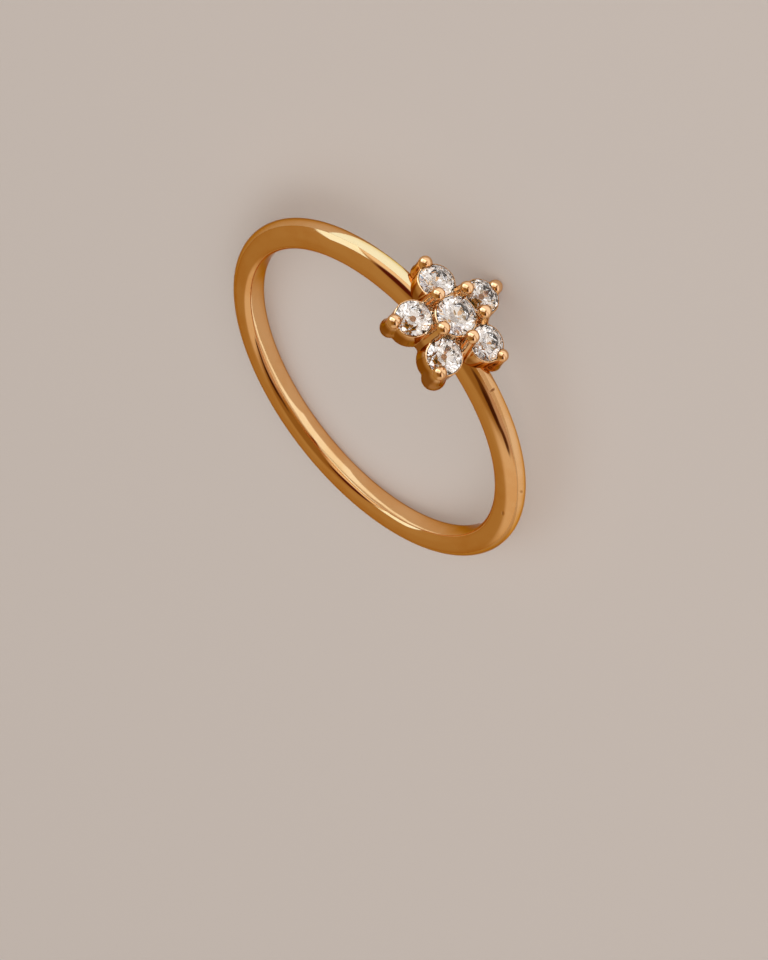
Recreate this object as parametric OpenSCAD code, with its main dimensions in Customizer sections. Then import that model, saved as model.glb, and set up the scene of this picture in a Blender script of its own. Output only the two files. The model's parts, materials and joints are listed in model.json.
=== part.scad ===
// A slim finger ring that carries a flower of six round cut stones.
// It lies on its side, on the foot of the lowest petal's prong and the back of the band.
// Ring frame: the finger axis is Z and the flower faces -Y.
// Flower frame: z runs outwards from the finger axis, and y runs along it.

/* [Band] */
// Diameter of the finger hole
finger_d = 16.5; // [15:0.1:21]
// Width of the band along the finger
band_w = 1.36; // [1.2:0.02:1.5]
// Thickness of the band
band_t = 1.42; // [1.3:0.02:1.6]
// Radius that softens the two edges of the finger hole
inner_edge_r = 0.28; // [0.2:0.02:0.34]

/* [Flower] */
// Distance from the flower's middle to the middle of a petal stone
petal_circle_r = 2; // [1.96:0.01:2.08]
// Height of a petal stone's girdle above the band
petal_rise = 0.68; // [0.6:0.02:0.8]
// Height of the centre stone's girdle above the band
centre_rise = 1.18; // [1:0.02:1.24]
// Outward lean of each petal, in degrees
petal_lean = 10; // [6:1:12]
// Depth of a petal cup below its stone's girdle
cup_depth = 1.3; // [1.2:0.05:1.4]
// Thickness of a cup's wall at the stone
cup_wall = 0.08; // [0.06:0.01:0.1]
// How much wider a cup is at its foot than at its rim
cup_flare = 0.08; // [0.04:0.01:0.1]
// Diameter of the hole in the back of each petal that is clear of the band
back_hole_d = 0.9; // [0.6:0.05:1]

/* [Stones] */
// Diameter of a petal stone
petal_stone_d = 1.75; // [1.7:0.01:1.8]
// Diameter of the centre stone
centre_stone_d = 2; // [1.9:0.01:2.05]
// Gap between a stone and its seat
stone_gap = 0.02; // [0.02:0.01:0.04]

/* [Prongs] */
// Radius of the bead on each outer prong
outer_bead_r = 0.35; // [0.32:0.01:0.37]
// Radius of the round foot of each outer prong
outer_foot_r = 0.49; // [0.46:0.01:0.52]
// Distance from a petal stone's edge to the middle of its outer prong
outer_reach = 0.11; // [0.09:0.01:0.14]
// Radius of the bead on each inner prong
inner_bead_r = 0.35; // [0.33:0.01:0.37]
// Distance from the flower's middle to the bead of an inner prong
inner_prong_r = 1.3; // [1.26:0.01:1.34]
// Angle at which an inner prong spreads from its bead to its foot, in degrees
inner_spread = 9; // [4:1:14]
// Height of an inner bead above the centre stone's girdle
inner_bead_rise = 0.58; // [0.5:0.02:0.62]

/* [Hidden] */
PETALS = 5;
$fn = 48;
GOLD = [0.85, 0.56, 0.24];
STONE = [0.93, 0.93, 0.95];

// Proportions of a round brilliant, as shares of its diameter
TABLE = 0.56;
CROWN = 0.15;
GIRDLE = 0.03;
PAVILION = 0.43;
STAR = 0.79;
LOWER = 0.28;

// How far a bead's middle stands above a petal's girdle, and a foot's above the cup's back
BEAD_LIFT = 0.08;
FOOT_LIFT = 0.3;
// How much a prong narrows before it meets its bead or foot
NECK = 0.03;
// Depth to which the middle cup reaches into the band
ROOT = 0.4;
// Petals that stand beside the band, counted from the lowest
OPEN_BACKED = [0, 2, 3];

petal_step = 360 / PETALS;
first_petal = -90;
finger_r = finger_d / 2;
band_r = finger_r + band_t;
band_arc_r = band_w / 2;
band_arc_ring_r = band_r - band_arc_r;
petal_girdle = band_r + petal_rise;
centre_girdle = band_r + centre_rise;
inner_bead_h = centre_girdle + inner_bead_rise;
cup_rim_r = petal_stone_d / 2 + cup_wall;
middle_rim_r = centre_stone_d / 2 + cup_wall;
prong_x = petal_stone_d / 2 + outer_reach;
foot_z = FOOT_LIFT - cup_depth;

// Place in the flower frame of a point of the lowest petal, out from the middle and up
function petal_out(x, z) = petal_circle_r + x * cos(petal_lean) + z * sin(petal_lean);
function petal_up(x, z) = petal_girdle - x * sin(petal_lean) + z * cos(petal_lean);

// The floor touches the lowest petal's prong foot and the arc at the back of the band
foot_span = petal_up(prong_x, foot_z) + band_arc_ring_r;
foot_drop = petal_out(prong_x, foot_z);
foot_line = norm([foot_span, foot_drop]);
rest_tilt = atan(foot_drop / foot_span) + asin((outer_foot_r - band_arc_r) / foot_line);
rest_height = band_arc_r + band_arc_ring_r * sin(rest_tilt);
front_drop = inner_prong_r * cos(petal_step / 2) * sin(rest_tilt);
front_reach = inner_bead_h * cos(rest_tilt) + front_drop + inner_bead_r;
back_reach = band_arc_ring_r * cos(rest_tilt) + band_arc_r;

// A ring of points at radius r and height z, turned by start degrees
function ring_of(n, r, z, start = 0) =
    [for (i = [0:n - 1]) [r * cos(360 / n * i + start), r * sin(360 / n * i + start), z]];

// A round brilliant: table, 8 stars, 8 kites, 32 girdle triangles and 8 pavilion mains
module brilliant(d) {
    r = d / 2;
    half = GIRDLE * d / 2;
    top = half + CROWN * d;
    deep = half + PAVILION * d;
    table_r = TABLE * r;
    star_x = STAR * r * cos(22.5);
    star_z = half + (top - half) * (r - star_x) / (r - table_r);
    lower_x = LOWER * r * cos(22.5);
    lower_z = -deep + (deep - half) * lower_x / r;
    points = concat(
        ring_of(8, table_r, top),
        ring_of(8, STAR * r, star_z, 22.5),
        ring_of(16, r, half),
        ring_of(16, r, -half),
        ring_of(8, LOWER * r, lower_z, 22.5),
        [[0, 0, -deep]]
    );
    star = 8;
    girdle = 16;
    under = 32;
    lower = 48;
    culet = 56;
    faces = concat(
        [[for (i = [7:-1:0]) i]],
        [for (i = [0:7]) [i, (i + 1) % 8, star + i]],
        [for (i = [0:7]) [i, star + i, girdle + 2 * i, star + (i + 7) % 8]],
        [for (i = [0:7]) [star + i, girdle + 2 * i + 1, girdle + 2 * i]],
        [for (i = [0:7]) [star + i, girdle + (2 * i + 2) % 16, girdle + 2 * i + 1]],
        [for (j = [0:15]) [girdle + j, girdle + (j + 1) % 16, under + (j + 1) % 16, under + j]],
        [for (i = [0:7]) [lower + i, under + 2 * i, under + 2 * i + 1]],
        [for (i = [0:7]) [lower + i, under + 2 * i + 1, under + (2 * i + 2) % 16]],
        [for (i = [0:7]) [lower + i, culet, lower + (i + 7) % 8, under + 2 * i]]
    );
    polyhedron(points, faces, convexity = 4);
}

// The room that a stone needs in the metal
module pocket(d) {
    r = d / 2 + stone_gap;
    half = GIRDLE * d / 2 + stone_gap;
    top = half + CROWN * d;
    deep = half + PAVILION * d;
    rotate_extrude()
        polygon([[0, -deep], [r, -half], [r, half], [TABLE * d / 2, top], [0, top]]);
}

// Flat towards the finger and round outside
module band() {
    rotate_extrude() difference() {
        union() {
            translate([band_arc_ring_r, 0]) circle(r = band_arc_r);
            translate([finger_r, -band_arc_r]) square([band_t - band_arc_r, band_w]);
        }
        for (side = [-1, 1]) translate([finger_r, side * band_arc_r]) inner_corner(side);
    }
}

// What the rounded edge of the finger hole takes from a square corner
module inner_corner(side) {
    difference() {
        square(2 * inner_edge_r, center = true);
        translate([inner_edge_r, -side * inner_edge_r]) circle(r = inner_edge_r);
    }
}

// Turns the flower frame to face -Y in the ring frame
module in_flower() {
    rotate([90, 0, 0]) children();
}

module at_petal(i) {
    rotate([0, 0, first_petal + petal_step * i])
        translate([petal_circle_r, 0, petal_girdle])
            rotate([0, petal_lean, 0])
                children();
}

module petal_cup() {
    translate([0, 0, -cup_depth])
        cylinder(r1 = cup_rim_r + cup_flare, r2 = cup_rim_r, h = cup_depth);
}

module outer_prong() {
    translate([prong_x, 0, foot_z]) {
        sphere(r = outer_foot_r);
        cylinder(r1 = outer_foot_r - NECK, r2 = outer_bead_r - NECK, h = BEAD_LIFT - foot_z);
    }
    translate([prong_x, 0, BEAD_LIFT]) sphere(r = outer_bead_r);
}

module inner_prong(i) {
    run = (inner_bead_h - petal_girdle - foot_z) / cos(inner_spread);
    post_r = inner_bead_r - NECK;
    rotate([0, 0, first_petal + petal_step * (i + 0.5)])
        translate([inner_prong_r, 0, inner_bead_h]) {
            sphere(r = inner_bead_r);
            rotate([0, -inner_spread, 0]) translate([0, 0, -run]) {
                sphere(r = post_r);
                cylinder(r = post_r, h = run);
            }
        }
}

module middle_cup() {
    root = band_r - ROOT;
    translate([0, 0, root])
        cylinder(r1 = middle_rim_r + 2 * cup_flare, r2 = middle_rim_r, h = centre_girdle - root);
}

module head() {
    middle_cup();
    for (i = [0:PETALS - 1]) {
        at_petal(i) {
            petal_cup();
            outer_prong();
        }
        inner_prong(i);
    }
}

module seats() {
    translate([0, 0, centre_girdle]) pocket(centre_stone_d);
    for (i = [0:PETALS - 1]) at_petal(i) pocket(petal_stone_d);
    for (i = OPEN_BACKED)
        at_petal(i) translate([0, 0, -2 * cup_depth]) cylinder(d = back_hole_d, h = 1.5 * cup_depth);
}

// Lays the ring down on its side, with the middle of its footprint at the origin
module at_rest() {
    translate([0, (front_reach - back_reach) / 2, rest_height])
        rotate([-rest_tilt, 0, 0])
            children();
}

module shank_and_head() {
    color(GOLD) at_rest() difference() {
        union() {
            band();
            in_flower() head();
        }
        in_flower() seats();
    }
}

module centre_stone() {
    color(STONE) at_rest() in_flower()
        translate([0, 0, centre_girdle]) brilliant(centre_stone_d);
}

module petal_stone(i) {
    color(STONE) at_rest() in_flower() at_petal(i) brilliant(petal_stone_d);
}

shank_and_head();
centre_stone();
for (i = [1:PETALS])
    petal_stone(i - 1);
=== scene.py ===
"""A slim polished flower ring that lies on its side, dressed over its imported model.

Ring frame: the finger axis is Z, the flower faces -Y, and the middle of the band is the origin.
Flower frame: z runs outwards from the finger axis through the middle stone, and y along the finger.
"""

import json
import logging
import math
from collections.abc import Iterable
from dataclasses import dataclass
from enum import Enum

import bmesh
import bpy
from mathutils import Matrix, Vector


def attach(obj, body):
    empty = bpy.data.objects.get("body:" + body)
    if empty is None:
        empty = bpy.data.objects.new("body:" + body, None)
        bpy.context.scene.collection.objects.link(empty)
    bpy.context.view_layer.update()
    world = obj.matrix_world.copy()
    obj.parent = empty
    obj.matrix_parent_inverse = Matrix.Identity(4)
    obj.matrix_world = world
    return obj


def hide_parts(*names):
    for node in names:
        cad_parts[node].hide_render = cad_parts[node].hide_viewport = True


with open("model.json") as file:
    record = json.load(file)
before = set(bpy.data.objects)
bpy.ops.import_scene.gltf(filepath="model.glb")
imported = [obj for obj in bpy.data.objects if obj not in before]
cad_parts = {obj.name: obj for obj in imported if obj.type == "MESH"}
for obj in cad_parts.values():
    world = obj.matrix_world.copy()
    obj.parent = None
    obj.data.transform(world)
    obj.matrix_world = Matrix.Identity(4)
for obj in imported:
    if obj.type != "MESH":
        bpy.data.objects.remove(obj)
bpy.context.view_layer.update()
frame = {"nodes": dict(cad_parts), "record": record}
LOG = logging.getLogger("flower_ring")
MM = 0.001
BODY = "root"
METAL_NODE = "shank_and_head"
STONES = ("centre_stone", *(f"petal_stone_{i}" for i in range(1, 6)))
MERGE_REACH = 1e-4 * MM

BMesh = bmesh.types.BMesh
Piece = bpy.types.Object
Colour = tuple[float, float, float]
Shift = tuple[float, float, float]
Socket = bpy.types.NodeSocket
Amount = Socket | float
Tone = Socket | tuple[float, float, float, float]


class Slot(Enum):
    """The record's material slot that a new piece takes."""

    GOLD = "gold_metal"


class Mapping(Enum):
    """How a pattern lies on the metal."""

    AROUND_BAND = "around the band"
    STRAIGHT = "straight"


@dataclass(frozen=True)
class RingPlace:
    """Where the ring lies.

    Args:
        centre: The middle of the band, in the world.
        tilt: How far the finger axis leans from +Z towards +Y, in radians.
        bore_r: The radius of the finger hole.
    """

    centre: Vector
    tilt: float
    bore_r: float

    @classmethod
    def from_record(cls, record: dict) -> "RingPlace":
        """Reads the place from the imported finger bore.

        Args:
            record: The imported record.

        Returns:
            The ring's place.
        """
        bore = next(m for m in record["mounts"] if m["name"] == "finger_bore")
        axis = Vector(bore["axis"])
        return cls(Vector(bore["pos_m"]), math.atan2(axis.y, axis.z), bore["dims"]["r_mm"] * MM)

    def ring(self) -> Matrix:
        """The ring frame in the world."""
        return Matrix.Translation(self.centre) @ Matrix.Rotation(-self.tilt, 4, "X")

    def flower(self) -> Matrix:
        """The flower frame in the world."""
        return self.ring() @ Matrix.Rotation(math.radians(90), 4, "X")


def add_cone(bm: BMesh, at: Matrix, low: tuple[float, float],
             high: tuple[float, float], segments: int = 64) -> None:
    """Adds a closed frustum that stands along z.

    Args:
        bm: The mesh that it joins.
        at: The frame that it stands in.
        low: Its lower radius and height.
        high: Its upper radius and height.
        segments: Its number of sides.
    """
    middle = Matrix.Translation((0, 0, (low[1] + high[1]) / 2))
    bmesh.ops.create_cone(bm, cap_ends=True, segments=segments, radius1=low[0], radius2=high[0],
                          depth=high[1] - low[1], matrix=at @ middle)


def add_ball(bm: BMesh, at: Matrix, radius: float, height: float,
             subdivisions: int = 4) -> None:
    """Adds a ball on the z axis.

    Args:
        bm: The mesh that it joins.
        at: The frame that it lies in.
        radius: Its radius.
        height: The height of its middle.
        subdivisions: How finely it is divided.
    """
    bmesh.ops.create_icosphere(bm, subdivisions=subdivisions, radius=radius,
                               matrix=at @ Matrix.Translation((0, 0, height)))


@dataclass(frozen=True)
class ProngEnd:
    """The bead or the foot of a prong.

    Args:
        radius: Its radius.
        out: Its distance outwards from the prong's frame.
        up: Its height.
        along: Its distance round the flower.
    """

    radius: float
    out: float
    up: float
    along: float = 0

    def moved(self, shift: Shift) -> "ProngEnd":
        """The end as it was set by hand.

        Args:
            shift: How far it stands outwards and round the flower, and how much it is swollen.

        Returns:
            The moved end.
        """
        return ProngEnd(self.radius + shift[2] * MM, self.out + shift[0] * MM, self.up,
                        self.along + shift[1] * MM)


def add_prong(bm: BMesh, at: Matrix, foot: ProngEnd, bead: ProngEnd,
              neck: float) -> None:
    """Adds a prong that runs from a round foot to a bead.

    Args:
        bm: The mesh that it joins.
        at: The frame that it stands in, with +x outwards.
        foot: Its foot.
        bead: Its bead.
        neck: How much thinner the prong is than its ends.
    """
    start, stop = (at @ Vector((end.out, end.along, end.up)) for end in (foot, bead))
    run = stop - start
    stand = Matrix.Translation(start) @ run.to_track_quat("Z", "Y").to_matrix().to_4x4()
    add_ball(bm, stand, foot.radius, 0)
    add_cone(bm, stand, (foot.radius - neck, 0), (bead.radius - neck, run.length))
    add_ball(bm, stand, bead.radius, run.length)


def add_turned(bm: BMesh, at: Matrix, outline: list[tuple[float, float]],
               steps: int = 64) -> None:
    """Turns an outline about z into a closed solid.

    Args:
        bm: The mesh that it joins.
        at: The frame that it stands in.
        outline: The radius and height of each corner, from axis to axis.
        steps: The number of sides.
    """
    verts = [bm.verts.new(at @ Vector((r, 0, z))) for r, z in outline]
    edges = [bm.edges.new(pair) for pair in zip(verts, verts[1:])]
    bmesh.ops.spin(bm, geom=verts + edges, cent=at.translation, axis=at.to_3x3().col[2],
                   angle=math.tau, steps=steps, use_merge=True, use_duplicate=False)


def to_object(bm: BMesh, name: str) -> Piece:
    """Makes a finished object of a mesh under construction.

    Args:
        bm: The mesh, which is freed.
        name: The object's name.

    Returns:
        The object, at the world's origin.
    """
    mesh = bpy.data.meshes.new(name)
    bm.to_mesh(mesh)
    bm.free()
    obj = bpy.data.objects.new(name, mesh)
    bpy.context.scene.collection.objects.link(obj)
    return obj


def apply_modifiers(obj: Piece) -> None:
    """Replaces an object's mesh by what its modifiers make of it.

    Args:
        obj: The object, which loses its modifiers.
    """
    seen = obj.evaluated_get(bpy.context.evaluated_depsgraph_get())
    mesh = bpy.data.meshes.new_from_object(seen)
    obj.modifiers.clear()
    old, obj.data = obj.data, mesh
    bpy.data.meshes.remove(old)
    mesh.name = obj.name


def smooth_shade(bm: BMesh, crease: float) -> None:
    """Shades a mesh smooth but for its sharp edges.

    Args:
        bm: The mesh.
        crease: The angle, in degrees, above which an edge stays sharp.
    """
    for face in bm.faces:
        face.smooth = True
    for edge in bm.edges:
        edge.smooth = edge.calc_face_angle(0.0) < math.radians(crease)


@dataclass
class Graph:
    """A node tree under construction.

    Args:
        tree: The tree.
    """

    tree: bpy.types.NodeTree

    def fill(self, node: bpy.types.Node, inputs: dict[str | int, object]) -> None:
        """Links or sets the inputs of a node.

        Args:
            node: The node.
            inputs: The socket to link, or the value to set, for each input.
        """
        for key, value in inputs.items():
            if isinstance(value, Socket):
                self.tree.links.new(value, node.inputs[key])
            else:
                node.inputs[key].default_value = value

    def node(self, kind: str, inputs: dict[str | int, object] | None = None,
             **settings: object) -> bpy.types.Node:
        """Adds a node.

        Args:
            kind: The node's type, without its ShaderNode prefix.
            inputs: The socket to link, or the value to set, for each input.
            settings: The node's own properties.

        Returns:
            The node.
        """
        made = self.tree.nodes.new("ShaderNode" + kind)
        for key, value in settings.items():
            setattr(made, key, value)
        self.fill(made, inputs or {})
        return made

    def math(self, operation: str, *values: Amount) -> Socket:
        """The result of a named operation on its values."""
        return self.node("Math", dict(enumerate(values)), operation=operation).outputs[0]

    def scaled(self, vector: Socket, factors: tuple[float, float, float]) -> Socket:
        """Stretches a pattern's coordinates."""
        return self.node("VectorMath", {0: vector, 1: factors}, operation="MULTIPLY").outputs[0]

    def ramp(self, value: Socket, low: float, high: float, to_low: float = 0,
             to_high: float = 1) -> Socket:
        """Maps a range smoothly onto another one.

        Args:
            value: What is mapped.
            low: Where the range starts.
            high: Where it ends.
            to_low: What its start becomes.
            to_high: What its end becomes.

        Returns:
            The mapped value.
        """
        limits = {"Value": value, "From Min": low, "From Max": high,
                  "To Min": to_low, "To Max": to_high}
        return self.node("MapRange", limits, interpolation_type="SMOOTHSTEP").outputs[0]

    def blend(self, mask: Amount, first: Tone, second: Tone) -> Socket:
        """Mixes two colours, the second one where the mask is 1."""
        return self.node("Mix", {0: mask, 6: first, 7: second}, data_type="RGBA").outputs[2]


def new_material(name: str) -> tuple[bpy.types.Material, Graph, bpy.types.Node]:
    """Makes a material with the standard shader.

    Args:
        name: Its name.

    Returns:
        The material, its nodes and its shader.
    """
    mat = bpy.data.materials.new(name)
    mat.use_nodes = True
    return mat, Graph(mat.node_tree), mat.node_tree.nodes["Principled BSDF"]


@dataclass(frozen=True)
class Noise:
    """A soft random pattern.

    Args:
        stretch: How much finer it is along each axis.
        scale: How fine it is.
        detail: How many finer layers it has.
        roughness: How strong the finer layers are.
    """

    stretch: tuple[float, float, float]
    scale: float
    detail: float
    roughness: float = 0.5

    def value(self, graph: Graph, pattern: Socket) -> Socket:
        """The pattern's value, which is about a half on average.

        Args:
            graph: The nodes that it joins.
            pattern: The coordinates that it lies on.

        Returns:
            The value.
        """
        noise = graph.node("TexNoise", {
            "Vector": graph.scaled(pattern, self.stretch), "Scale": self.scale,
            "Detail": self.detail, "Roughness": self.roughness})
        return noise.outputs["Fac"]


@dataclass(frozen=True)
class PolishWear:
    """The wear of polished metal: slow waves, fine polishing lines, smears and rare pits.

    Its pattern is in millimetres, with the polishing lines along x.

    Args:
        name: The name of its node group.
        waves: The slow waves.
        lines: The polishing lines.
        smears: The smears of handling.
        line_depth: The depth of the lines, as a share of the waves' height.
        pit_scale: How close the pits are.
        pit_reach: The radius of a pit, as a share of their distance.
        pit_core: The radius of its deepest part.
        pit_depth: Its depth, as a share of the waves' height.
        smear_from: The value of the smears' pattern at which they begin.
        smear_to: The value at which they are full.
        smear_share: How much of the rougher finish comes from the smears.
        line_share: How much of it comes from the lines.
        smear_tone: How much of the worn colour a smear shows.
    """

    name: str = "polish_wear"
    waves: Noise = Noise((0.45, 1, 1), 1.1, 1)
    lines: Noise = Noise((0.35, 9, 9), 1.6, 4)
    smears: Noise = Noise((0.6, 1, 1), 0.8, 3, 0.6)
    line_depth: float = 0.035
    pit_scale: float = 1.7
    pit_reach: float = 0.05
    pit_core: float = 0.02
    pit_depth: float = 0.12
    smear_from: float = 0.42
    smear_to: float = 0.68
    smear_share: float = 0.6
    line_share: float = 0.4
    smear_tone: float = 0.7

    def group(self) -> bpy.types.NodeTree:
        """Builds the node group, or gives the one that is there.

        Returns:
            The group.
        """
        tree = bpy.data.node_groups.get(self.name)
        if tree:
            return tree
        tree = bpy.data.node_groups.new(self.name, "ShaderNodeTree")
        for side, sockets in (
            ("INPUT", {"Pattern": "Vector", "Colour": "Color", "Worn Colour": "Color",
                       "Roughness": "Float", "Roughness Spread": "Float"}),
            ("OUTPUT", {"Colour": "Color", "Roughness": "Float", "Height": "Float"}),
        ):
            for name, kind in sockets.items():
                tree.interface.new_socket(name=name, in_out=side,
                                          socket_type="NodeSocket" + kind)
        graph = Graph(tree)
        given = tree.nodes.new("NodeGroupInput").outputs
        waves, lines, smears = (noise.value(graph, given["Pattern"])
                                for noise in (self.waves, self.lines, self.smears))
        cells = graph.node("TexVoronoi", {"Vector": given["Pattern"], "Scale": self.pit_scale,
                                          "Randomness": 1}).outputs["Distance"]
        pits = graph.ramp(cells, self.pit_reach, self.pit_core)
        smear = graph.ramp(smears, self.smear_from, self.smear_to)
        height = graph.math("ADD", waves, graph.math("MULTIPLY", lines, self.line_depth))
        height = graph.math("SUBTRACT", height, graph.math("MULTIPLY", pits, self.pit_depth))
        wear = graph.math("ADD", graph.math("MULTIPLY", smear, self.smear_share),
                          graph.math("MULTIPLY", lines, self.line_share))
        rough = graph.math("ADD", given["Roughness"],
                           graph.math("MULTIPLY", given["Roughness Spread"],
                                      graph.math("ADD", wear, pits)))
        tone = graph.math("MULTIPLY", smear, self.smear_tone)
        graph.fill(tree.nodes.new("NodeGroupOutput"), {
            "Colour": graph.blend(tone, given["Colour"], given["Worn Colour"]),
            "Roughness": rough, "Height": height})
        return tree


@dataclass(frozen=True)
class Nick:
    """A small dent in the band.

    Args:
        angle_deg: Its place round the finger, from the back of the band towards +X.
        radius_mm: Its distance from the finger axis.
        height_mm: Its height above the band's middle.
        length_mm: Its length.
        width_mm: Its width.
        turn_deg: Its turn from the band's direction.
        strength: How strongly it shows.
    """

    angle_deg: float
    radius_mm: float
    height_mm: float
    length_mm: float
    width_mm: float
    turn_deg: float
    strength: float


@dataclass(frozen=True)
class GoldFinish:
    """Polished warm gold plating, with the faint wear of handling.

    Args:
        name: Its name.
        mapping: How its pattern lies on the metal.
        nicks: The nicks that it shows.
        colour: Its colour where it is clean.
        worn_colour: Its colour in a smear.
        dent_colour: Its colour in a nick.
        edge_tint: The tint of its mirror at a glancing angle.
        roughness: Its roughness where it is clean.
        roughness_spread: How much rougher the wear makes it.
        wave_depth: The height of its waves.
        arc_radius: The radius, in millimetres, on which the pattern along the band is true.
        nick_core: The share of a nick's size that has its full strength.
        nick_roughness: How much rougher a nick is.
        nick_depth: The depth of a nick, as a share of the waves' height.
        wear: The wear that it shows.
    """

    name: str
    mapping: Mapping
    nicks: tuple[Nick, ...] = ()
    colour: Colour = (0.97, 0.58, 0.26)
    worn_colour: Colour = (0.92, 0.50, 0.19)
    dent_colour: Colour = (0.34, 0.13, 0.04)
    edge_tint: Colour = (0.6, 0.34, 0.14)
    roughness: float = 0.05
    roughness_spread: float = 0.1
    wave_depth: float = 0.012 * MM
    arc_radius: float = 9
    nick_core: float = 0.3
    nick_roughness: float = 0.25
    nick_depth: float = 2
    wear: PolishWear = PolishWear()

    def pattern(self, graph: Graph, place: RingPlace) -> Socket:
        """Lays the pattern's coordinates, in millimetres.

        Args:
            graph: The material's nodes.
            place: Where the ring lies.

        Returns:
            The coordinates: along the band, outwards and along the finger, or the ring frame's.
        """
        local = graph.node("Mapping", {
            "Vector": graph.node("TexCoord").outputs["Object"], "Location": place.centre,
            "Rotation": (-place.tilt, 0, 0), "Scale": (MM, MM, MM)},
            vector_type="TEXTURE").outputs[0]
        if self.mapping is Mapping.STRAIGHT:
            return local
        parts = graph.node("SeparateXYZ", {0: local}).outputs
        flat = graph.scaled(local, (1, 1, 0))
        radius = graph.node("VectorMath", {0: flat}, operation="LENGTH").outputs["Value"]
        angle = graph.math("ARCTAN2", parts[0], parts[1])
        along = graph.math("MULTIPLY", angle, self.arc_radius)
        return graph.node("CombineXYZ", {0: along, 1: radius, 2: parts[2]}).outputs[0]

    def nick_mask(self, graph: Graph, pattern: Socket) -> Amount:
        """Marks the nicks.

        Args:
            graph: The material's nodes.
            pattern: The coordinates along the band.

        Returns:
            A mask that has each nick's strength in its middle.
        """
        mask: Amount = 0.0
        for nick in self.nicks:
            spot = (math.radians(nick.angle_deg) * self.arc_radius, nick.radius_mm, nick.height_mm)
            near = graph.node("Mapping", {
                "Vector": pattern, "Location": spot,
                "Rotation": (0, math.radians(nick.turn_deg), 0),
                "Scale": (nick.length_mm / 2, nick.width_mm / 2, nick.width_mm / 2)},
                vector_type="TEXTURE").outputs[0]
            reach = graph.node("VectorMath", {0: near}, operation="LENGTH").outputs["Value"]
            mark = graph.ramp(reach, 1, self.nick_core, 0, nick.strength)
            mask = graph.math("MAXIMUM", mask, mark)
        return mask

    def tinted(self, graph: Graph, pattern: Socket, colour: Socket) -> Socket:
        """The gold's colour, which a finish may change over its piece."""
        return colour

    def material(self, place: RingPlace) -> bpy.types.Material:
        """Builds the finish.

        Args:
            place: Where the ring lies, on which the pattern is centred.

        Returns:
            The material.
        """
        mat, graph, shader = new_material(self.name)
        pattern = self.pattern(graph, place)
        wear = graph.node("Group", {
            "Pattern": pattern, "Colour": (*self.colour, 1), "Worn Colour": (*self.worn_colour, 1),
            "Roughness": self.roughness, "Roughness Spread": self.roughness_spread},
            node_tree=self.wear.group())
        colour, rough, height = (wear.outputs[n] for n in ("Colour", "Roughness", "Height"))
        colour = self.tinted(graph, pattern, colour)
        if self.nicks:
            mask = self.nick_mask(graph, pattern)
            colour = graph.blend(mask, colour, (*self.dent_colour, 1))
            rough = graph.math("ADD", rough, graph.math("MULTIPLY", mask, self.nick_roughness))
            height = graph.math("SUBTRACT", height,
                                graph.math("MULTIPLY", mask, self.nick_depth))
        bump = graph.node("Bump", {"Height": height, "Distance": self.wave_depth, "Strength": 1})
        graph.fill(shader, {"Metallic": 1, "Specular Tint": (*self.edge_tint, 1),
                            "Base Color": colour, "Roughness": rough,
                            "Normal": bump.outputs["Normal"]})
        return mat


@dataclass(frozen=True)
class BandGold(GoldFinish):
    """The band's gold, with three small nicks on its -X side."""

    name: str = "band_gold"
    mapping: Mapping = Mapping.AROUND_BAND
    nicks: tuple[Nick, ...] = (
        Nick(-157, 9.67, -0.05, 0.50, 0.18, 84, 0.9),
        Nick(-120, 9.67, 0.03, 0.45, 0.20, 35, 0.5),
        Nick(-110, 9.14, 0.66, 0.48, 0.20, 0, 0.5),
    )


@dataclass(frozen=True)
class FlowerGold(GoldFinish):
    """The flower's gold: paler, with painted shade down the cups' sides and in the pits at the
    solder.

    Heights are above the finger axis. They and the radius are in millimetres.

    Args:
        side_shade_colour: The colour of the painted shade on the cups' sides and backs.
        side_shade_top: The height at which the painted shade on the sides begins.
        side_shade_low: The height under which the painted shade is full.
        pit_shade_colour: The colour of the painted shade in the pits between the cups, over the
            solder.
        pit_shade_reach: The radius of the painted shade round the solder.
        pit_shade_top: The height under which the painted shade lies.
        pit_shade_fade: The width over which the painted shade begins.
    """

    name: str = "flower_gold"
    mapping: Mapping = Mapping.STRAIGHT
    colour: Colour = (0.97, 0.62, 0.33)
    worn_colour: Colour = (0.92, 0.54, 0.25)
    edge_tint: Colour = (0.72, 0.47, 0.27)
    side_shade_colour: Colour = (0.50, 0.23, 0.07)
    side_shade_top: float = 10.15
    side_shade_low: float = 9.75
    pit_shade_colour: Colour = (0.60, 0.46, 0.32)
    pit_shade_reach: float = 1.62
    pit_shade_top: float = 10.62
    pit_shade_fade: float = 0.12

    def tinted(self, graph: Graph, pattern: Socket, colour: Socket) -> Socket:
        """Paints shade down the sides and in the pits at the solder.

        Args:
            graph: The material's nodes.
            pattern: The ring frame's coordinates, in millimetres.
            colour: The gold's colour.

        Returns:
            The colour, with the painted shade.
        """
        up = graph.math("MULTIPLY", graph.node("SeparateXYZ", {0: pattern}).outputs[1], -1)
        out = graph.node("VectorMath", {0: graph.scaled(pattern, (1, 0, 1))},
                         operation="LENGTH").outputs["Value"]
        # Painted shade: darker down the cups' sides and backs.
        side = graph.ramp(up, self.side_shade_top, self.side_shade_low)
        # Painted shade: duller and darker in the pits between the cups, over the solder.
        solder = graph.math(
            "MULTIPLY", graph.ramp(up, self.pit_shade_top, self.pit_shade_top - self.pit_shade_fade),
            graph.ramp(out, self.pit_shade_reach + self.pit_shade_fade, self.pit_shade_reach))
        colour = graph.blend(solder, colour, (*self.pit_shade_colour, 1))
        return graph.blend(side, colour, (*self.side_shade_colour, 1))


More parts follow.
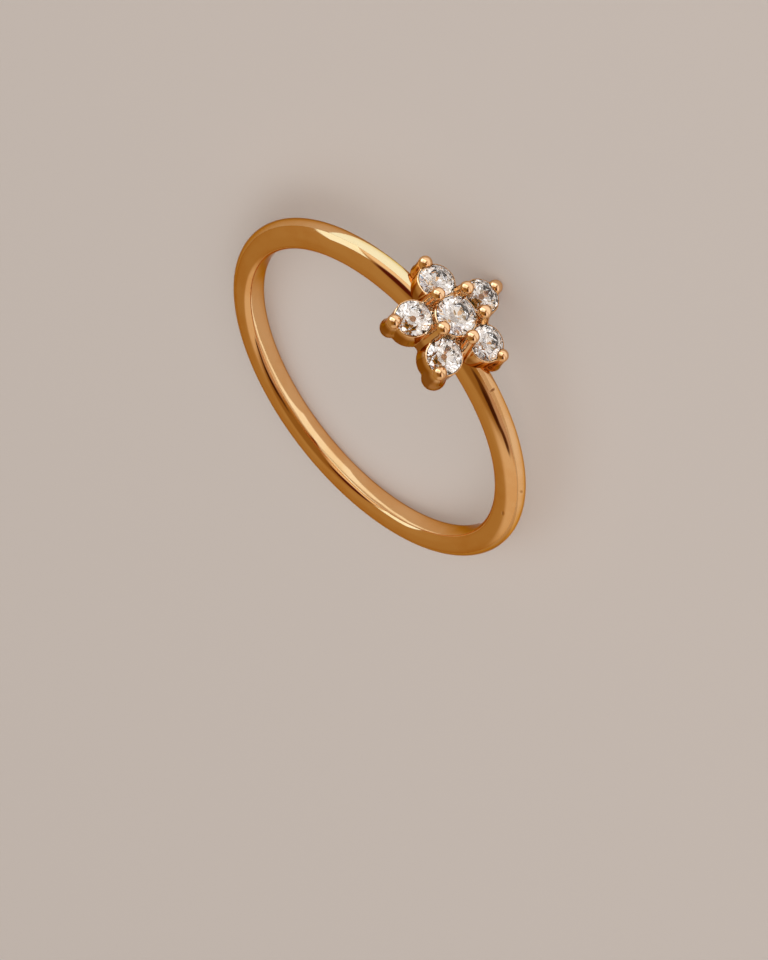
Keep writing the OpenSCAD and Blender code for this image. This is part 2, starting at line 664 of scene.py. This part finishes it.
@dataclass(frozen=True)
class StoneFinish:
    """Clear colourless cut stone, with a trace of handling on its facets.

    Args:
        name: Its name.
        ior: How strongly it bends light.
        smudge: Its roughness where it is clean, which doubles in a smudge.
        spot_scale: How fine the smudges are.
        spot_detail: How many finer layers they have.
        clean_colour: Its colour where it is clean.
        spot_colour: Its colour in a smudge.
        smudge_range: The values of the smudges' pattern over which they grow rough.
        spot_range: The values over which they take their colour.
    """

    name: str = "clear_cut_stone"
    ior: float = 2.3
    smudge: float = 0.05
    spot_scale: float = 900
    spot_detail: float = 2
    clean_colour: Colour = (1, 1, 1)
    spot_colour: Colour = (0.985, 0.98, 0.985)
    smudge_range: tuple[float, float] = (0.5, 0.75)
    spot_range: tuple[float, float] = (0.3, 0.7)

    def material(self) -> bpy.types.Material:
        """Builds the finish.

        Returns:
            The material.
        """
        mat, graph, shader = new_material(self.name)
        spots = graph.node("TexNoise", {
            "Vector": graph.node("TexCoord").outputs["Object"], "Scale": self.spot_scale,
            "Detail": self.spot_detail}).outputs["Fac"]
        rough = graph.ramp(spots, *self.smudge_range, self.smudge, 2 * self.smudge)
        colour = graph.blend(graph.ramp(spots, *self.spot_range), (*self.clean_colour, 1),
                             (*self.spot_colour, 1))
        graph.fill(shader, {"Transmission Weight": 1, "IOR": self.ior, "Roughness": rough,
                            "Base Color": colour})
        return mat


def give(obj: Piece, material: bpy.types.Material) -> None:
    """Gives an object one material."""
    obj.data.materials.clear()
    obj.data.materials.append(material)


def dress_metal(piece: Piece, gold: bpy.types.Material) -> None:
    """Dresses a metal piece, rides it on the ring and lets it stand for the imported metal.

    Args:
        piece: The piece.
        gold: Its material.
    """
    give(piece, gold)
    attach(piece, BODY)
    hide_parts(METAL_NODE)


@dataclass
class Band:
    """The band, slightly crowned towards the finger and round outside.

    Args:
        place: Where the ring lies.
        width: Its width along the finger.
        thickness: Its thickness outwards from the finger hole.
        inner_edge_r: How far each inner edge is rounded.
        crown_deg: How far the finger side slopes on each side of its ridge.
        crown_reach: How far from the ridge it is rounded.
        steps: Its number of sides round the finger.
        arc_segments: The number of sides of each outer edge.
        edge_segments: The number of sides of each inner edge.
        crown_segments: The number of sides of the rounded ridge.
        crease_deg: The angle above which an edge is sharp.
        finish: Its gold.
    """

    place: RingPlace
    width: float = 1.36 * MM
    thickness: float = 1.42 * MM
    inner_edge_r: float = 0.28 * MM
    crown_deg: float = 13
    crown_reach: float = 0.38 * MM
    steps: int = 400
    arc_segments: int = 22
    edge_segments: int = 8
    crown_segments: int = 8
    crease_deg: float = 60
    finish: GoldFinish = BandGold()

    @property
    def outer_r(self) -> float:
        """The band's outer radius."""
        return self.place.bore_r + self.thickness

    def section(self, bm: BMesh) -> list[bmesh.types.BMVert | bmesh.types.BMEdge]:
        """Draws the section in the XZ plane.

        Args:
            bm: The mesh that it joins.

        Returns:
            The section's vertices and edges.
        """
        half = self.width / 2
        lean = math.radians(self.crown_deg)
        ridge = self.place.bore_r - self.crown_reach * math.tan(lean / 2)
        inner = ridge + half * math.tan(lean)
        corners = [bm.verts.new((x, 0, z)) for x, z in
                   ((ridge, 0), (inner, -half), (self.outer_r, -half),
                    (self.outer_r, half), (inner, half))]
        bm.faces.new(corners)
        for rounded, radius, segments in (
            (corners[2:4], half, self.arc_segments),
            ((corners[1], corners[4]), self.inner_edge_r, self.edge_segments),
            (corners[:1], self.crown_reach, self.crown_segments),
        ):
            bmesh.ops.bevel(bm, geom=list(rounded), offset=radius, offset_type="OFFSET",
                            affect="VERTICES", segments=segments, profile=0.5, material=-1)
        bmesh.ops.remove_doubles(bm, verts=bm.verts[:], dist=MERGE_REACH)
        bmesh.ops.delete(bm, geom=bm.faces[:], context="FACES_ONLY")
        return bm.verts[:] + bm.edges[:]

    def build(self) -> Piece:
        """Spins the section round the finger.

        Returns:
            The band.
        """
        bm = bmesh.new()
        bmesh.ops.spin(bm, geom=self.section(bm), cent=(0, 0, 0), axis=(0, 0, 1),
                       angle=math.tau, steps=self.steps, use_merge=True, use_duplicate=False)
        bmesh.ops.remove_doubles(bm, verts=bm.verts[:], dist=MERGE_REACH)
        bmesh.ops.recalc_face_normals(bm, faces=bm.faces[:])
        bmesh.ops.transform(bm, matrix=self.place.ring(), verts=bm.verts[:])
        smooth_shade(bm, self.crease_deg)
        return to_object(bm, "band")

    def dress(self, piece: Piece) -> None:
        """Gives the band its gold."""
        dress_metal(piece, self.finish.material(self.place))


@dataclass(frozen=True)
class Brilliant:
    """A round brilliant, with its proportions as shares of its diameter.

    Args:
        radius: Its radius.
        table: The width of its flat top.
        crown: The height from the girdle to the table.
        girdle: The height of its girdle.
        pavilion: The depth under the girdle.
    """

    radius: float
    table: float = 0.56
    crown: float = 0.15
    girdle: float = 0.03
    pavilion: float = 0.43

    def pocket(self, gap: float) -> list[tuple[float, float]]:
        """The outline of the room that the stone needs.

        Args:
            gap: The gap round the stone.

        Returns:
            The radius and height of each corner.
        """
        width = 2 * self.radius
        half = self.girdle * self.radius + gap
        top = half + self.crown * width
        rim = self.radius + gap
        return [(0, -half - self.pavilion * width), (rim, -half), (rim, half),
                (self.table * self.radius, top), (0, top)]


@dataclass
class FlowerHead:
    """The soldered flower: cups, prongs, beads and the seats that the stones sit in.

    Each table of shifts starts at the lowest petal. A shift is in millimetres: outwards, round the
    flower, and how much the end is swollen.

    Args:
        place: Where the ring lies.
        band: The band that the flower is soldered to.
        petals: The number of petals.
        first_petal_deg: The turn of the lowest petal in the flower frame.
        circle_r: The distance of the petals from the flower's middle.
        petal_rise: The height of the petal stones' girdles above the band.
        centre_rise: The height of the middle stone's girdle above the band.
        lean_deg: How far each petal leans outwards.
        cup_depth: The depth of a petal cup under its stone's girdle.
        cup_wall: How far a cup's rim stands out from its stone.
        cup_flare: How much further it stands out at the cup's back.
        back_hole_r: The radius of the hole in an open back.
        petal_stone_r: The radius of a petal stone.
        centre_stone_r: The radius of the middle stone.
        stone_gap: The gap round each stone.
        outer_bead_r: The radius of an outer prong's bead.
        outer_foot_r: The radius of an outer prong's foot.
        outer_reach: How far outside its stone an outer prong stands.
        inner_bead_r: The radius of an inner prong's bead and foot.
        inner_prong_r: The distance of the inner beads from the flower's middle.
        inner_bead_rise: The height of the inner beads above the middle stone's girdle.
        inner_spread_deg: How far an inner prong spreads towards its foot.
        bead_lift: The height of an outer bead above its stone's girdle.
        foot_lift: The height of a prong's foot above the cup's back.
        neck: How much thinner a prong is than its ends.
        root: How far the middle cup reaches into the band.
        solder_r: The radius of the solder between the cups.
        solder_rise: The height of the solder above the petal stones' girdles.
        open_backed: The petals that stand clear of the band and have an open back.
        voxel: The size of the steps in which the metal is joined.
        smoothing: How many times the joined metal is softened.
        smoothing_share: How far each softening moves the metal.
        crease_deg: The angle above which an edge is sharp.
        outer_bead_shifts: How each outer bead was set by hand.
        outer_foot_shifts: How each outer foot was set by hand.
        inner_bead_shifts: How each inner bead was set by hand.
        inner_foot_shifts: How each inner foot was set by hand.
        finish: Its gold.
    """

    place: RingPlace
    band: Band
    petals: int = 5
    first_petal_deg: float = -90
    circle_r: float = 2 * MM
    petal_rise: float = 0.68 * MM
    centre_rise: float = 1.18 * MM
    lean_deg: float = 10
    cup_depth: float = 1.3 * MM
    cup_wall: float = 0.085 * MM
    cup_flare: float = 0.08 * MM
    back_hole_r: float = 0.45 * MM
    petal_stone_r: float = 0.875 * MM
    centre_stone_r: float = 1 * MM
    stone_gap: float = 0.02 * MM
    outer_bead_r: float = 0.355 * MM
    outer_foot_r: float = 0.495 * MM
    outer_reach: float = 0.11 * MM
    inner_bead_r: float = 0.355 * MM
    inner_prong_r: float = 1.3 * MM
    inner_bead_rise: float = 0.57 * MM
    inner_spread_deg: float = 9
    bead_lift: float = 0.08 * MM
    foot_lift: float = 0.3 * MM
    neck: float = 0.03 * MM
    root: float = 0.4 * MM
    solder_r: float = 1.6 * MM
    solder_rise: float = 0.04 * MM
    open_backed: tuple[int, ...] = (0, 2, 3)
    voxel: float = 0.04 * MM
    smoothing: int = 6
    smoothing_share: float = 0.5
    crease_deg: float = 50
    outer_bead_shifts: tuple[Shift, ...] = (
        (-0.04, -0.04, 0), (0.04, 0.13, 0), (-0.02, 0.15, 0), (-0.13, -0.04, 0),
        (-0.04, -0.04, -0.02))
    outer_foot_shifts: tuple[Shift, ...] = (
        (0, 0, 0), (0.05, 0.05, 0), (-0.01, 0.1, 0), (-0.07, 0.02, 0.11), (0.04, -0.04, 0))
    inner_bead_shifts: tuple[Shift, ...] = (
        (-0.03, -0.06, 0), (0.04, -0.07, 0), (-0.01, 0.11, 0), (0.03, 0.06, 0),
        (-0.08, 0.02, 0))
    inner_foot_shifts: tuple[Shift, ...] = (
        (-0.1, 0, 0), (-0.15, 0, 0), (0, 0.05, 0), (0, 0, 0), (0.15, 0, 0))
    finish: GoldFinish = FlowerGold()

    @property
    def petal_girdle(self) -> float:
        """Height of a petal stone's girdle above the finger axis."""
        return self.band.outer_r + self.petal_rise

    @property
    def centre_girdle(self) -> float:
        """Height of the middle stone's girdle above the finger axis."""
        return self.band.outer_r + self.centre_rise

    def turn(self, steps: float) -> Matrix:
        """The flower frame, turned by a number of petals from the lowest one."""
        angle = math.radians(self.first_petal_deg + 360 / self.petals * steps)
        return self.place.flower() @ Matrix.Rotation(angle, 4, "Z")

    def petal(self, index: int) -> Matrix:
        """The frame of one petal, with its stone's girdle at the origin and +x outwards."""
        shift = Matrix.Translation((self.circle_r, 0, self.petal_girdle))
        return self.turn(index) @ shift @ Matrix.Rotation(math.radians(self.lean_deg), 4, "Y")

    def add_petal_metal(self, bm: BMesh, index: int) -> None:
        """Adds one petal's cup and outer prong to the metal.

        Args:
            bm: The mesh that they join.
            index: The petal.
        """
        at = self.petal(index)
        rim = self.petal_stone_r + self.cup_wall
        add_cone(bm, at, (rim + self.cup_flare, -self.cup_depth), (rim, 0))
        reach = self.petal_stone_r + self.outer_reach
        foot = ProngEnd(self.outer_foot_r, reach, self.foot_lift - self.cup_depth)
        bead = ProngEnd(self.outer_bead_r, reach, self.bead_lift)
        add_prong(bm, at, foot.moved(self.outer_foot_shifts[index]),
                  bead.moved(self.outer_bead_shifts[index]), self.neck)

    def add_inner_prong(self, bm: BMesh, index: int) -> None:
        """Adds one of the tall prongs between the middle stone and two petals.

        Args:
            bm: The mesh that it joins.
            index: The first of the two petals.
        """
        bead = ProngEnd(self.inner_bead_r, self.inner_prong_r,
                        self.centre_girdle + self.inner_bead_rise)
        low = self.petal_girdle + self.foot_lift - self.cup_depth
        spread = (bead.up - low) * math.tan(math.radians(self.inner_spread_deg))
        foot = ProngEnd(self.inner_bead_r, self.inner_prong_r + spread, low)
        add_prong(bm, self.turn(index + 0.5), foot.moved(self.inner_foot_shifts[index]),
                  bead.moved(self.inner_bead_shifts[index]), self.neck)

    def add_middle_cup(self, bm: BMesh) -> None:
        """Adds the cup under the middle stone.

        Args:
            bm: The mesh that it joins.
        """
        rim = self.centre_stone_r + self.cup_wall
        add_cone(bm, self.place.flower(),
                 (rim + 2 * self.cup_flare, self.band.outer_r - self.root),
                 (rim, self.centre_girdle))

    def add_solder(self, bm: BMesh) -> None:
        """Adds the solder that fills the pits between the cups.

        Args:
            bm: The mesh that it joins.
        """
        add_cone(bm, self.place.flower(), (self.solder_r, self.band.outer_r),
                 (self.solder_r, self.petal_girdle + self.solder_rise))

    def seats(self) -> Piece:
        """Makes what the stones and the open backs take from the metal.

        Returns:
            The tool that is cut from the flower.
        """
        bm = bmesh.new()
        seats = [(self.place.flower() @ Matrix.Translation((0, 0, self.centre_girdle)),
                  self.centre_stone_r)]
        seats += [(self.petal(i), self.petal_stone_r) for i in range(self.petals)]
        for at, radius in seats:
            add_turned(bm, at, Brilliant(radius).pocket(self.stone_gap))
        for index in self.open_backed:
            add_cone(bm, self.petal(index), (self.back_hole_r, -2 * self.cup_depth),
                     (self.back_hole_r, -self.cup_depth / 2))
        bmesh.ops.remove_doubles(bm, verts=bm.verts[:], dist=MERGE_REACH)
        bmesh.ops.recalc_face_normals(bm, faces=bm.faces[:])
        return to_object(bm, "seats")

    def build(self) -> Piece:
        """Joins the metal, softens its solder lines and cuts the seats.

        Returns:
            The flower's metal.
        """
        bm = bmesh.new()
        self.add_middle_cup(bm)
        self.add_solder(bm)
        for index in range(self.petals):
            self.add_petal_metal(bm, index)
            self.add_inner_prong(bm, index)
        head = to_object(bm, "flower_head")
        remesh = head.modifiers.new("join", "REMESH")
        remesh.mode = "VOXEL"
        remesh.voxel_size = self.voxel
        apply_modifiers(head)
        self.soften(head)
        seats = self.seats()
        cut = head.modifiers.new("seats", "BOOLEAN")
        cut.object = seats
        cut.operation = "DIFFERENCE"
        cut.solver = "EXACT"
        apply_modifiers(head)
        bpy.data.objects.remove(seats)
        bm = bmesh.new()
        bm.from_mesh(head.data)
        smooth_shade(bm, self.crease_deg)
        bm.to_mesh(head.data)
        bm.free()
        return head

    def soften(self, head: Piece) -> None:
        """Rounds the solder lines and takes the steps out of the joined metal.

        Args:
            head: The joined metal.
        """
        bm = bmesh.new()
        bm.from_mesh(head.data)
        for _ in range(self.smoothing):
            bmesh.ops.smooth_vert(bm, verts=bm.verts[:], factor=self.smoothing_share,
                                  use_axis_x=True, use_axis_y=True, use_axis_z=True)
        bm.to_mesh(head.data)
        bm.free()

    def dress(self, piece: Piece) -> None:
        """Gives the flower its gold."""
        dress_metal(piece, self.finish.material(self.place))


@dataclass
class CutStones:
    """The six stones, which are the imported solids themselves.

    Args:
        finish: Their finish.
    """

    finish: StoneFinish = StoneFinish()

    def dress(self) -> list[Piece]:
        """Gives each stone the finish.

        Returns:
            The stones.
        """
        material = self.finish.material()
        stones = [frame["nodes"][name] for name in STONES]
        for stone in stones:
            give(stone, material)
        return stones


def direction(azimuth_deg: float, elevation_deg: float) -> Vector:
    """The way from the ring to a place in the room.

    Args:
        azimuth_deg: Turn from the flower's side, -Y, towards +X.
        elevation_deg: Height above the floor.

    Returns:
        A unit vector.
    """
    azimuth, elevation = math.radians(azimuth_deg), math.radians(elevation_deg)
    return Vector((math.sin(azimuth) * math.cos(elevation),
                   -math.cos(azimuth) * math.cos(elevation), math.sin(elevation)))


@dataclass(frozen=True)
class Patch:
    """A soft round patch of the room that the polished metal mirrors.

    Args:
        azimuth_deg: Its place round the ring.
        elevation_deg: Its height above the floor.
        full_deg: How far its own colour reaches from its middle.
        fade_deg: How far from its middle it has faded out.
        colour: Its colour.
    """

    azimuth_deg: float
    elevation_deg: float
    full_deg: float
    fade_deg: float
    colour: Colour

    def over(self, graph: Graph, way: Socket, room: Tone) -> Socket:
        """Lays the patch over the room.

        Args:
            graph: The room's nodes.
            way: The direction that is looked in.
            room: The room's colour so far.

        Returns:
            The colour with the patch.
        """
        middle = direction(self.azimuth_deg, self.elevation_deg)
        near = graph.node("VectorMath", {0: way, 1: middle}, operation="DOT_PRODUCT")
        mask = graph.ramp(near.outputs["Value"], math.cos(math.radians(self.fade_deg)),
                          math.cos(math.radians(self.full_deg)))
        return graph.blend(mask, room, (*self.colour, 1))


@dataclass(frozen=True)
class Softbox:
    """A soft light panel that faces the ring.

    Args:
        name: Its name.
        azimuth_deg: Its place round the ring.
        elevation_deg: Its height above the floor.
        width: Its width.
        height: Its height.
        radiance: How bright it is.
        colour: Its colour.
        mirrored: Whether polished surfaces mirror it. If not, it lights the dull ones.
        pieces: The pieces that it lights, or none for all.
        shadows: Whether it casts shadows.
        distance: Its distance from the ring.
    """

    name: str
    azimuth_deg: float
    elevation_deg: float
    width: float
    height: float
    radiance: float
    colour: Colour = (1, 1, 1)
    mirrored: bool = True
    pieces: tuple[str, ...] = ()
    shadows: bool = True
    distance: float = 0.6

    def add(self, target: Vector) -> None:
        """Hangs the panel.

        Args:
            target: The point that it faces.
        """
        light = bpy.data.lights.new(self.name, "AREA")
        light.shape = "RECTANGLE"
        light.size = self.width
        light.size_y = self.height
        light.color = self.colour
        light.energy = self.radiance * math.pi * self.width * self.height
        light.use_shadow = self.shadows
        obj = bpy.data.objects.new(self.name, light)
        obj.visible_glossy = self.mirrored
        obj.visible_diffuse = not self.mirrored
        if self.pieces:
            lit = bpy.data.collections.new(self.name)
            for piece in self.pieces:
                lit.objects.link(bpy.data.objects[piece])
            obj.light_linking.receiver_collection = lit
        bpy.context.scene.collection.objects.link(obj)
        obj.matrix_world = self.stand(target)

    def stand(self, target: Vector) -> Matrix:
        """Stands the panel so that it faces the target.

        Args:
            target: The point that it faces.

        Returns:
            The panel's place.
        """
        away = direction(self.azimuth_deg, self.elevation_deg)
        return (Matrix.Translation(target + away * self.distance)
                @ away.to_track_quat("Z", "Y").to_matrix().to_4x4())


@dataclass(frozen=True)
class Sheet(Softbox):
    """A bright sheet at floor level that faces up and is mirrored by the metal.

    Args:
        lift: Its height above the floor.
    """

    lift: float = 0.2 * MM

    def stand(self, target: Vector) -> Matrix:
        """Lays the sheet at its distance from the target.

        Args:
            target: The point that it is measured from.

        Returns:
            The sheet's place.
        """
        middle = target + direction(self.azimuth_deg, self.elevation_deg) * self.distance
        middle.z = self.lift
        return Matrix.Translation(middle) @ Matrix.Rotation(math.pi, 4, "X")


@dataclass(frozen=True)
class PhotoCamera:
    """The photograph's view of the ring.

    Args:
        azimuth_deg: Turn about the finger axis from the flower's front towards +X.
        elevation_deg: Height above the band's plane.
        roll_deg: How far the camera's top is turned from the finger axis.
        distance: Its distance from the band's middle.
        lens_mm: Its focal length.
        right_shift: How far the view's middle lies right of the band's middle.
        down_shift: How far it lies below the band's middle.
        nearest: The shortest distance that it sees.
        furthest: The longest distance that it sees.
    """

    azimuth_deg: float = -1.67
    elevation_deg: float = 27.3
    roll_deg: float = 128.19
    distance: float = 0.4
    lens_mm: float = 308.4
    right_shift: float = 0.28 * MM
    down_shift: float = 4.48 * MM
    nearest: float = 0.01
    furthest: float = 10

    def add(self, place: RingPlace) -> None:
        """Sets up the camera.

        Args:
            place: Where the ring lies.
        """
        turn = (Matrix.Rotation(math.radians(self.azimuth_deg), 4, "Z")
                @ Matrix.Rotation(math.radians(90 - self.elevation_deg), 4, "X")
                @ Matrix.Rotation(math.radians(-self.roll_deg), 4, "Z"))
        shift = Matrix.Translation((self.right_shift, -self.down_shift, self.distance))
        camera = bpy.data.cameras.new("camera")
        camera.lens = self.lens_mm
        camera.clip_start = self.nearest
        camera.clip_end = self.furthest
        obj = bpy.data.objects.new("camera", camera)
        bpy.context.scene.collection.objects.link(obj)
        obj.matrix_world = place.ring() @ turn @ shift
        bpy.context.scene.camera = obj


@dataclass(frozen=True)
class Studio:
    """A plain pale floor in a warm room, under soft light.

    Args:
        floor_size: The side of the square floor.
        floor_colour: The floor's colour.
        floor_roughness: How dull the floor is.
        room_colour: The room's colour between its patches.
        patches: The patches that the metal mirrors, each laid over the ones before it.
        panels: The lights.
    """

    floor_size: float = 3.0
    floor_colour: Colour = (0.466, 0.441, 0.436)
    floor_roughness: float = 0.7
    room_colour: Colour = (0.41, 0.28, 0.12)
    patches: tuple[Patch, ...] = (
        Patch(-118, 20, 26, 46, (0.66, 0.56, 0.46)),
        Patch(-20, 48, 30, 58, (0.27, 0.15, 0.04)),
        Patch(40, 0, 22, 36, (0.90, 0.85, 0.80)),
        Patch(-60, 5, 15, 30, (0.47, 0.36, 0.32)),
        Patch(-43, 33, 7, 15, (0.09, 0.035, 0.01)),
        Patch(-62, 39, 9, 17, (0.05, 0.015, 0.005)),
        Patch(-78, 26, 5, 13, (0.08, 0.03, 0.01)),
        Patch(44, 39, 12, 21, (0.08, 0.012, 0.005)),
    )
    panels: tuple[Softbox, ...] = (
        # Mirrored by every piece
        Softbox("key_panel", 84, 13, 0.34, 0.42, 1.65, colour=(0.38, 0.67, 1)),
        # Mirrored by the band alone
        Sheet("side_sheet", 44, 0, 0.116, 0.114, 1.4, colour=(0.3, 0.63, 1),
              pieces=("band",), distance=0.0892),
        Sheet("inner_sheet", 184, 0, 0.0027, 0.010, 0.8, colour=(0.55, 0.85, 1.2),
              pieces=("band",), distance=0.0019),
        Sheet("right_sheet", -74, 0, 0.024, 0.015, 0.3, colour=(0.6, 0.75, 1),
              pieces=("band",), distance=0.0167),
        # Mirrored by the flower alone
        Softbox("bead_panel", 46, 18, 1.1, 0.8, 1.05, colour=(0.85, 1, 1.2),
                pieces=("flower_head",)),
        Sheet("bead_sheet", 12, 0, 0.034, 0.034, 0.5, colour=(0.85, 1, 1.2),
              pieces=("flower_head",), distance=0.03),
        Softbox("bead_fill", -52, 8, 0.9, 0.35, 0.6, colour=(0.95, 1, 1.15),
                pieces=("flower_head",)),
        # In the stones
        Softbox("top_panel", 0, 90, 1.3, 1.3, 0.8, mirrored=False, pieces=STONES),
        Softbox("front_panel", -10, 35, 0.9, 0.6, 0.75, colour=(0.92, 0.96, 1), mirrored=False,
                pieces=STONES),
        # On the floor
        Softbox("floor_panel", -22, 36, 0.5, 0.4, 2.6, colour=(1, 0.92, 0.84), mirrored=False,
                pieces=("floor",)),
        Softbox("floor_fill", 0, 90, 1.5, 1.5, 1.36, colour=(1, 0.92, 0.84), mirrored=False,
                pieces=("floor",), shadows=False),
    )

    def add_floor(self) -> None:
        """Lays the floor."""
        bm = bmesh.new()
        bmesh.ops.create_grid(bm, x_segments=1, y_segments=1, size=self.floor_size / 2)
        floor = to_object(bm, "floor")
        paper, graph, shader = new_material("floor_paper")
        graph.fill(shader, {"Base Color": (*self.floor_colour, 1),
                            "Roughness": self.floor_roughness})
        give(floor, paper)

    def add_room(self) -> None:
        """Fills the room that the metal mirrors, which gives dull surfaces no light."""
        world = bpy.data.worlds.new("studio")
        world.use_nodes = True
        graph = Graph(world.node_tree)
        way = graph.node("TexCoord").outputs["Generated"]
        colour: Tone = (*self.room_colour, 1)
        for patch in self.patches:
            colour = patch.over(graph, way, colour)
        graph.fill(world.node_tree.nodes["Background"], {"Color": colour})
        bpy.context.scene.world = world
        world.cycles_visibility.diffuse = False

    def add(self, place: RingPlace) -> None:
        """Sets up floor, room and panels.

        Args:
            place: Where the ring lies.
        """
        self.add_floor()
        self.add_room()
        for panel in self.panels:
            panel.add(place.centre)
        bpy.context.scene.view_settings.view_transform = "Standard"


def main() -> None:
    """Builds and dresses the ring in the photograph's view."""
    logging.basicConfig(level=logging.INFO, format="%(message)s")
    place = RingPlace.from_record(frame["record"])
    PhotoCamera().add(place)
    band = Band(place)
    for part in (band, FlowerHead(place, band)):
        piece = part.build()
        part.dress(piece)
        LOG.info("%s: %d faces", piece.name, len(piece.data.polygons))
    for stone in CutStones().dress():
        LOG.info("%s: cut stone", stone.name)
    Studio().add(place)


if __name__ == "__main__":
    main()
